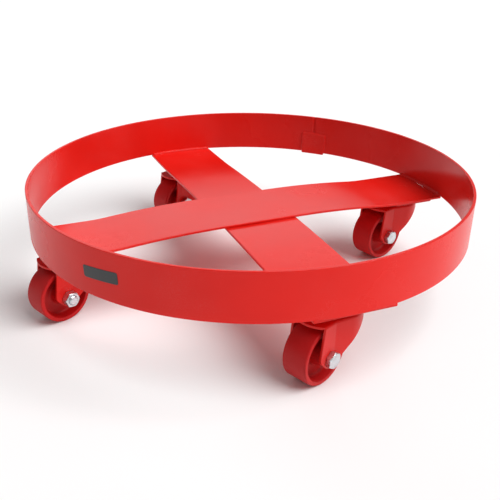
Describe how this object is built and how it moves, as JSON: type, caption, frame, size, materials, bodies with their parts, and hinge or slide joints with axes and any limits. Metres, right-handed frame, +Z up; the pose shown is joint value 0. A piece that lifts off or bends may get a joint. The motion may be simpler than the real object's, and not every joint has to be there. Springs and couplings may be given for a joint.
{
  "type": "drum dolly",
  "caption": "Low round steel dolly for a drum: a shallow ring on two crossed flat bars with swivel casters on steel wheels.",
  "frame": {"origin": "on the floor, on the axis of the ring", "axes": "+Z up from the floor along the axis of the ring; the two crossed bars lie on the diagonals of X and Y, the upper one from -X-Y to +X+Y; the blank label is towards -Y"},
  "size_m": [0.6158, 0.6165, 0.1683],
  "materials": {
    "frame_paint": "gloss enamel",
    "caster_paint": "gloss enamel",
    "wheel_paint": "satin enamel over cast steel",
    "zinc_plate": "bright zinc plate",
    "bare_steel": "oiled steel",
    "sintered_bronze": "oiled sintered bronze",
    "label_film": "plain printed film with nothing on it"
  },
  "bodies": {
    "frame": {"ring_band": "frame_paint", "ring_seam_weld": "frame_paint", "splice_plate": "frame_paint", "splice_welds": "frame_paint", "lower_bar": "frame_paint", "upper_bar": "frame_paint", "bar_end_welds": "frame_paint", "crossing_welds": "frame_paint", "caster_welds": "frame_paint", "blank_label": "label_film", "front_left_plate": "frame_paint", "front_left_kingpin": "bare_steel", "front_left_retainer": "bare_steel", "front_right_plate": "frame_paint", "front_right_kingpin": "bare_steel", "front_right_retainer": "bare_steel", "rear_left_plate": "frame_paint", "rear_left_kingpin": "bare_steel", "rear_left_retainer": "bare_steel", "rear_right_plate": "frame_paint", "rear_right_kingpin": "bare_steel", "rear_right_retainer": "bare_steel"},
    "front_left_swivel": {"front_left_fork": "caster_paint", "front_left_balls": "bare_steel", "front_left_bolt": "zinc_plate", "front_left_nut": "zinc_plate", "front_left_sleeve": "bare_steel", "front_left_washers": "bare_steel"},
    "front_left_wheel": {"front_left_wheel": "wheel_paint", "front_left_bush": "sintered_bronze"},
    "front_right_swivel": {"front_right_fork": "caster_paint", "front_right_balls": "bare_steel", "front_right_bolt": "zinc_plate", "front_right_nut": "zinc_plate", "front_right_sleeve": "bare_steel", "front_right_washers": "bare_steel"},
    "front_right_wheel": {"front_right_wheel": "wheel_paint", "front_right_bush": "sintered_bronze"},
    "rear_left_swivel": {"rear_left_fork": "caster_paint", "rear_left_balls": "bare_steel", "rear_left_bolt": "zinc_plate", "rear_left_nut": "zinc_plate", "rear_left_sleeve": "bare_steel", "rear_left_washers": "bare_steel"},
    "rear_left_wheel": {"rear_left_wheel": "wheel_paint", "rear_left_bush": "sintered_bronze"},
    "rear_right_swivel": {"rear_right_fork": "caster_paint", "rear_right_balls": "bare_steel", "rear_right_bolt": "zinc_plate", "rear_right_nut": "zinc_plate", "rear_right_sleeve": "bare_steel", "rear_right_washers": "bare_steel"},
    "rear_right_wheel": {"rear_right_wheel": "wheel_paint", "rear_right_bush": "sintered_bronze"}
  },
  "joints": [
    {"name": "front_left_swivel_turn", "type": "hinge", "parent": "frame", "child": "front_left_swivel", "pos_m": [-0.17763, -0.1813, 0.086], "axis": [0, 0, 1], "continuous": true},
    {"name": "front_left_wheel_roll", "type": "hinge", "parent": "front_left_swivel", "child": "front_left_wheel", "pos_m": [-0.18924, -0.21005, 0.0381], "axis": [0.9272, -0.3746, 0], "continuous": true},
    {"name": "front_right_swivel_turn", "type": "hinge", "parent": "frame", "child": "front_right_swivel", "pos_m": [0.17946, -0.17946, 0.086], "axis": [0, 0, 1], "continuous": true},
    {"name": "front_right_wheel_roll", "type": "hinge", "parent": "front_right_swivel", "child": "front_right_wheel", "pos_m": [0.16815, -0.20833, 0.0381], "axis": [0.9311, -0.3649, 0], "continuous": true},
    {"name": "rear_left_swivel_turn", "type": "hinge", "parent": "frame", "child": "rear_left_swivel", "pos_m": [-0.17946, 0.17946, 0.086], "axis": [0, 0, 1], "continuous": true},
    {"name": "rear_left_wheel_roll", "type": "hinge", "parent": "rear_left_swivel", "child": "rear_left_wheel", "pos_m": [-0.19207, 0.15114, 0.0381], "axis": [0.9135, -0.4067, 0], "continuous": true},
    {"name": "rear_right_swivel_turn", "type": "hinge", "parent": "frame", "child": "rear_right_swivel", "pos_m": [0.17706, 0.18187, 0.086], "axis": [0, 0, 1], "continuous": true},
    {"name": "rear_right_wheel_roll", "type": "hinge", "parent": "rear_right_swivel", "child": "rear_right_wheel", "pos_m": [0.16251, 0.1545, 0.0381], "axis": [0.8829, -0.4695, 0], "continuous": true}
  ]
}
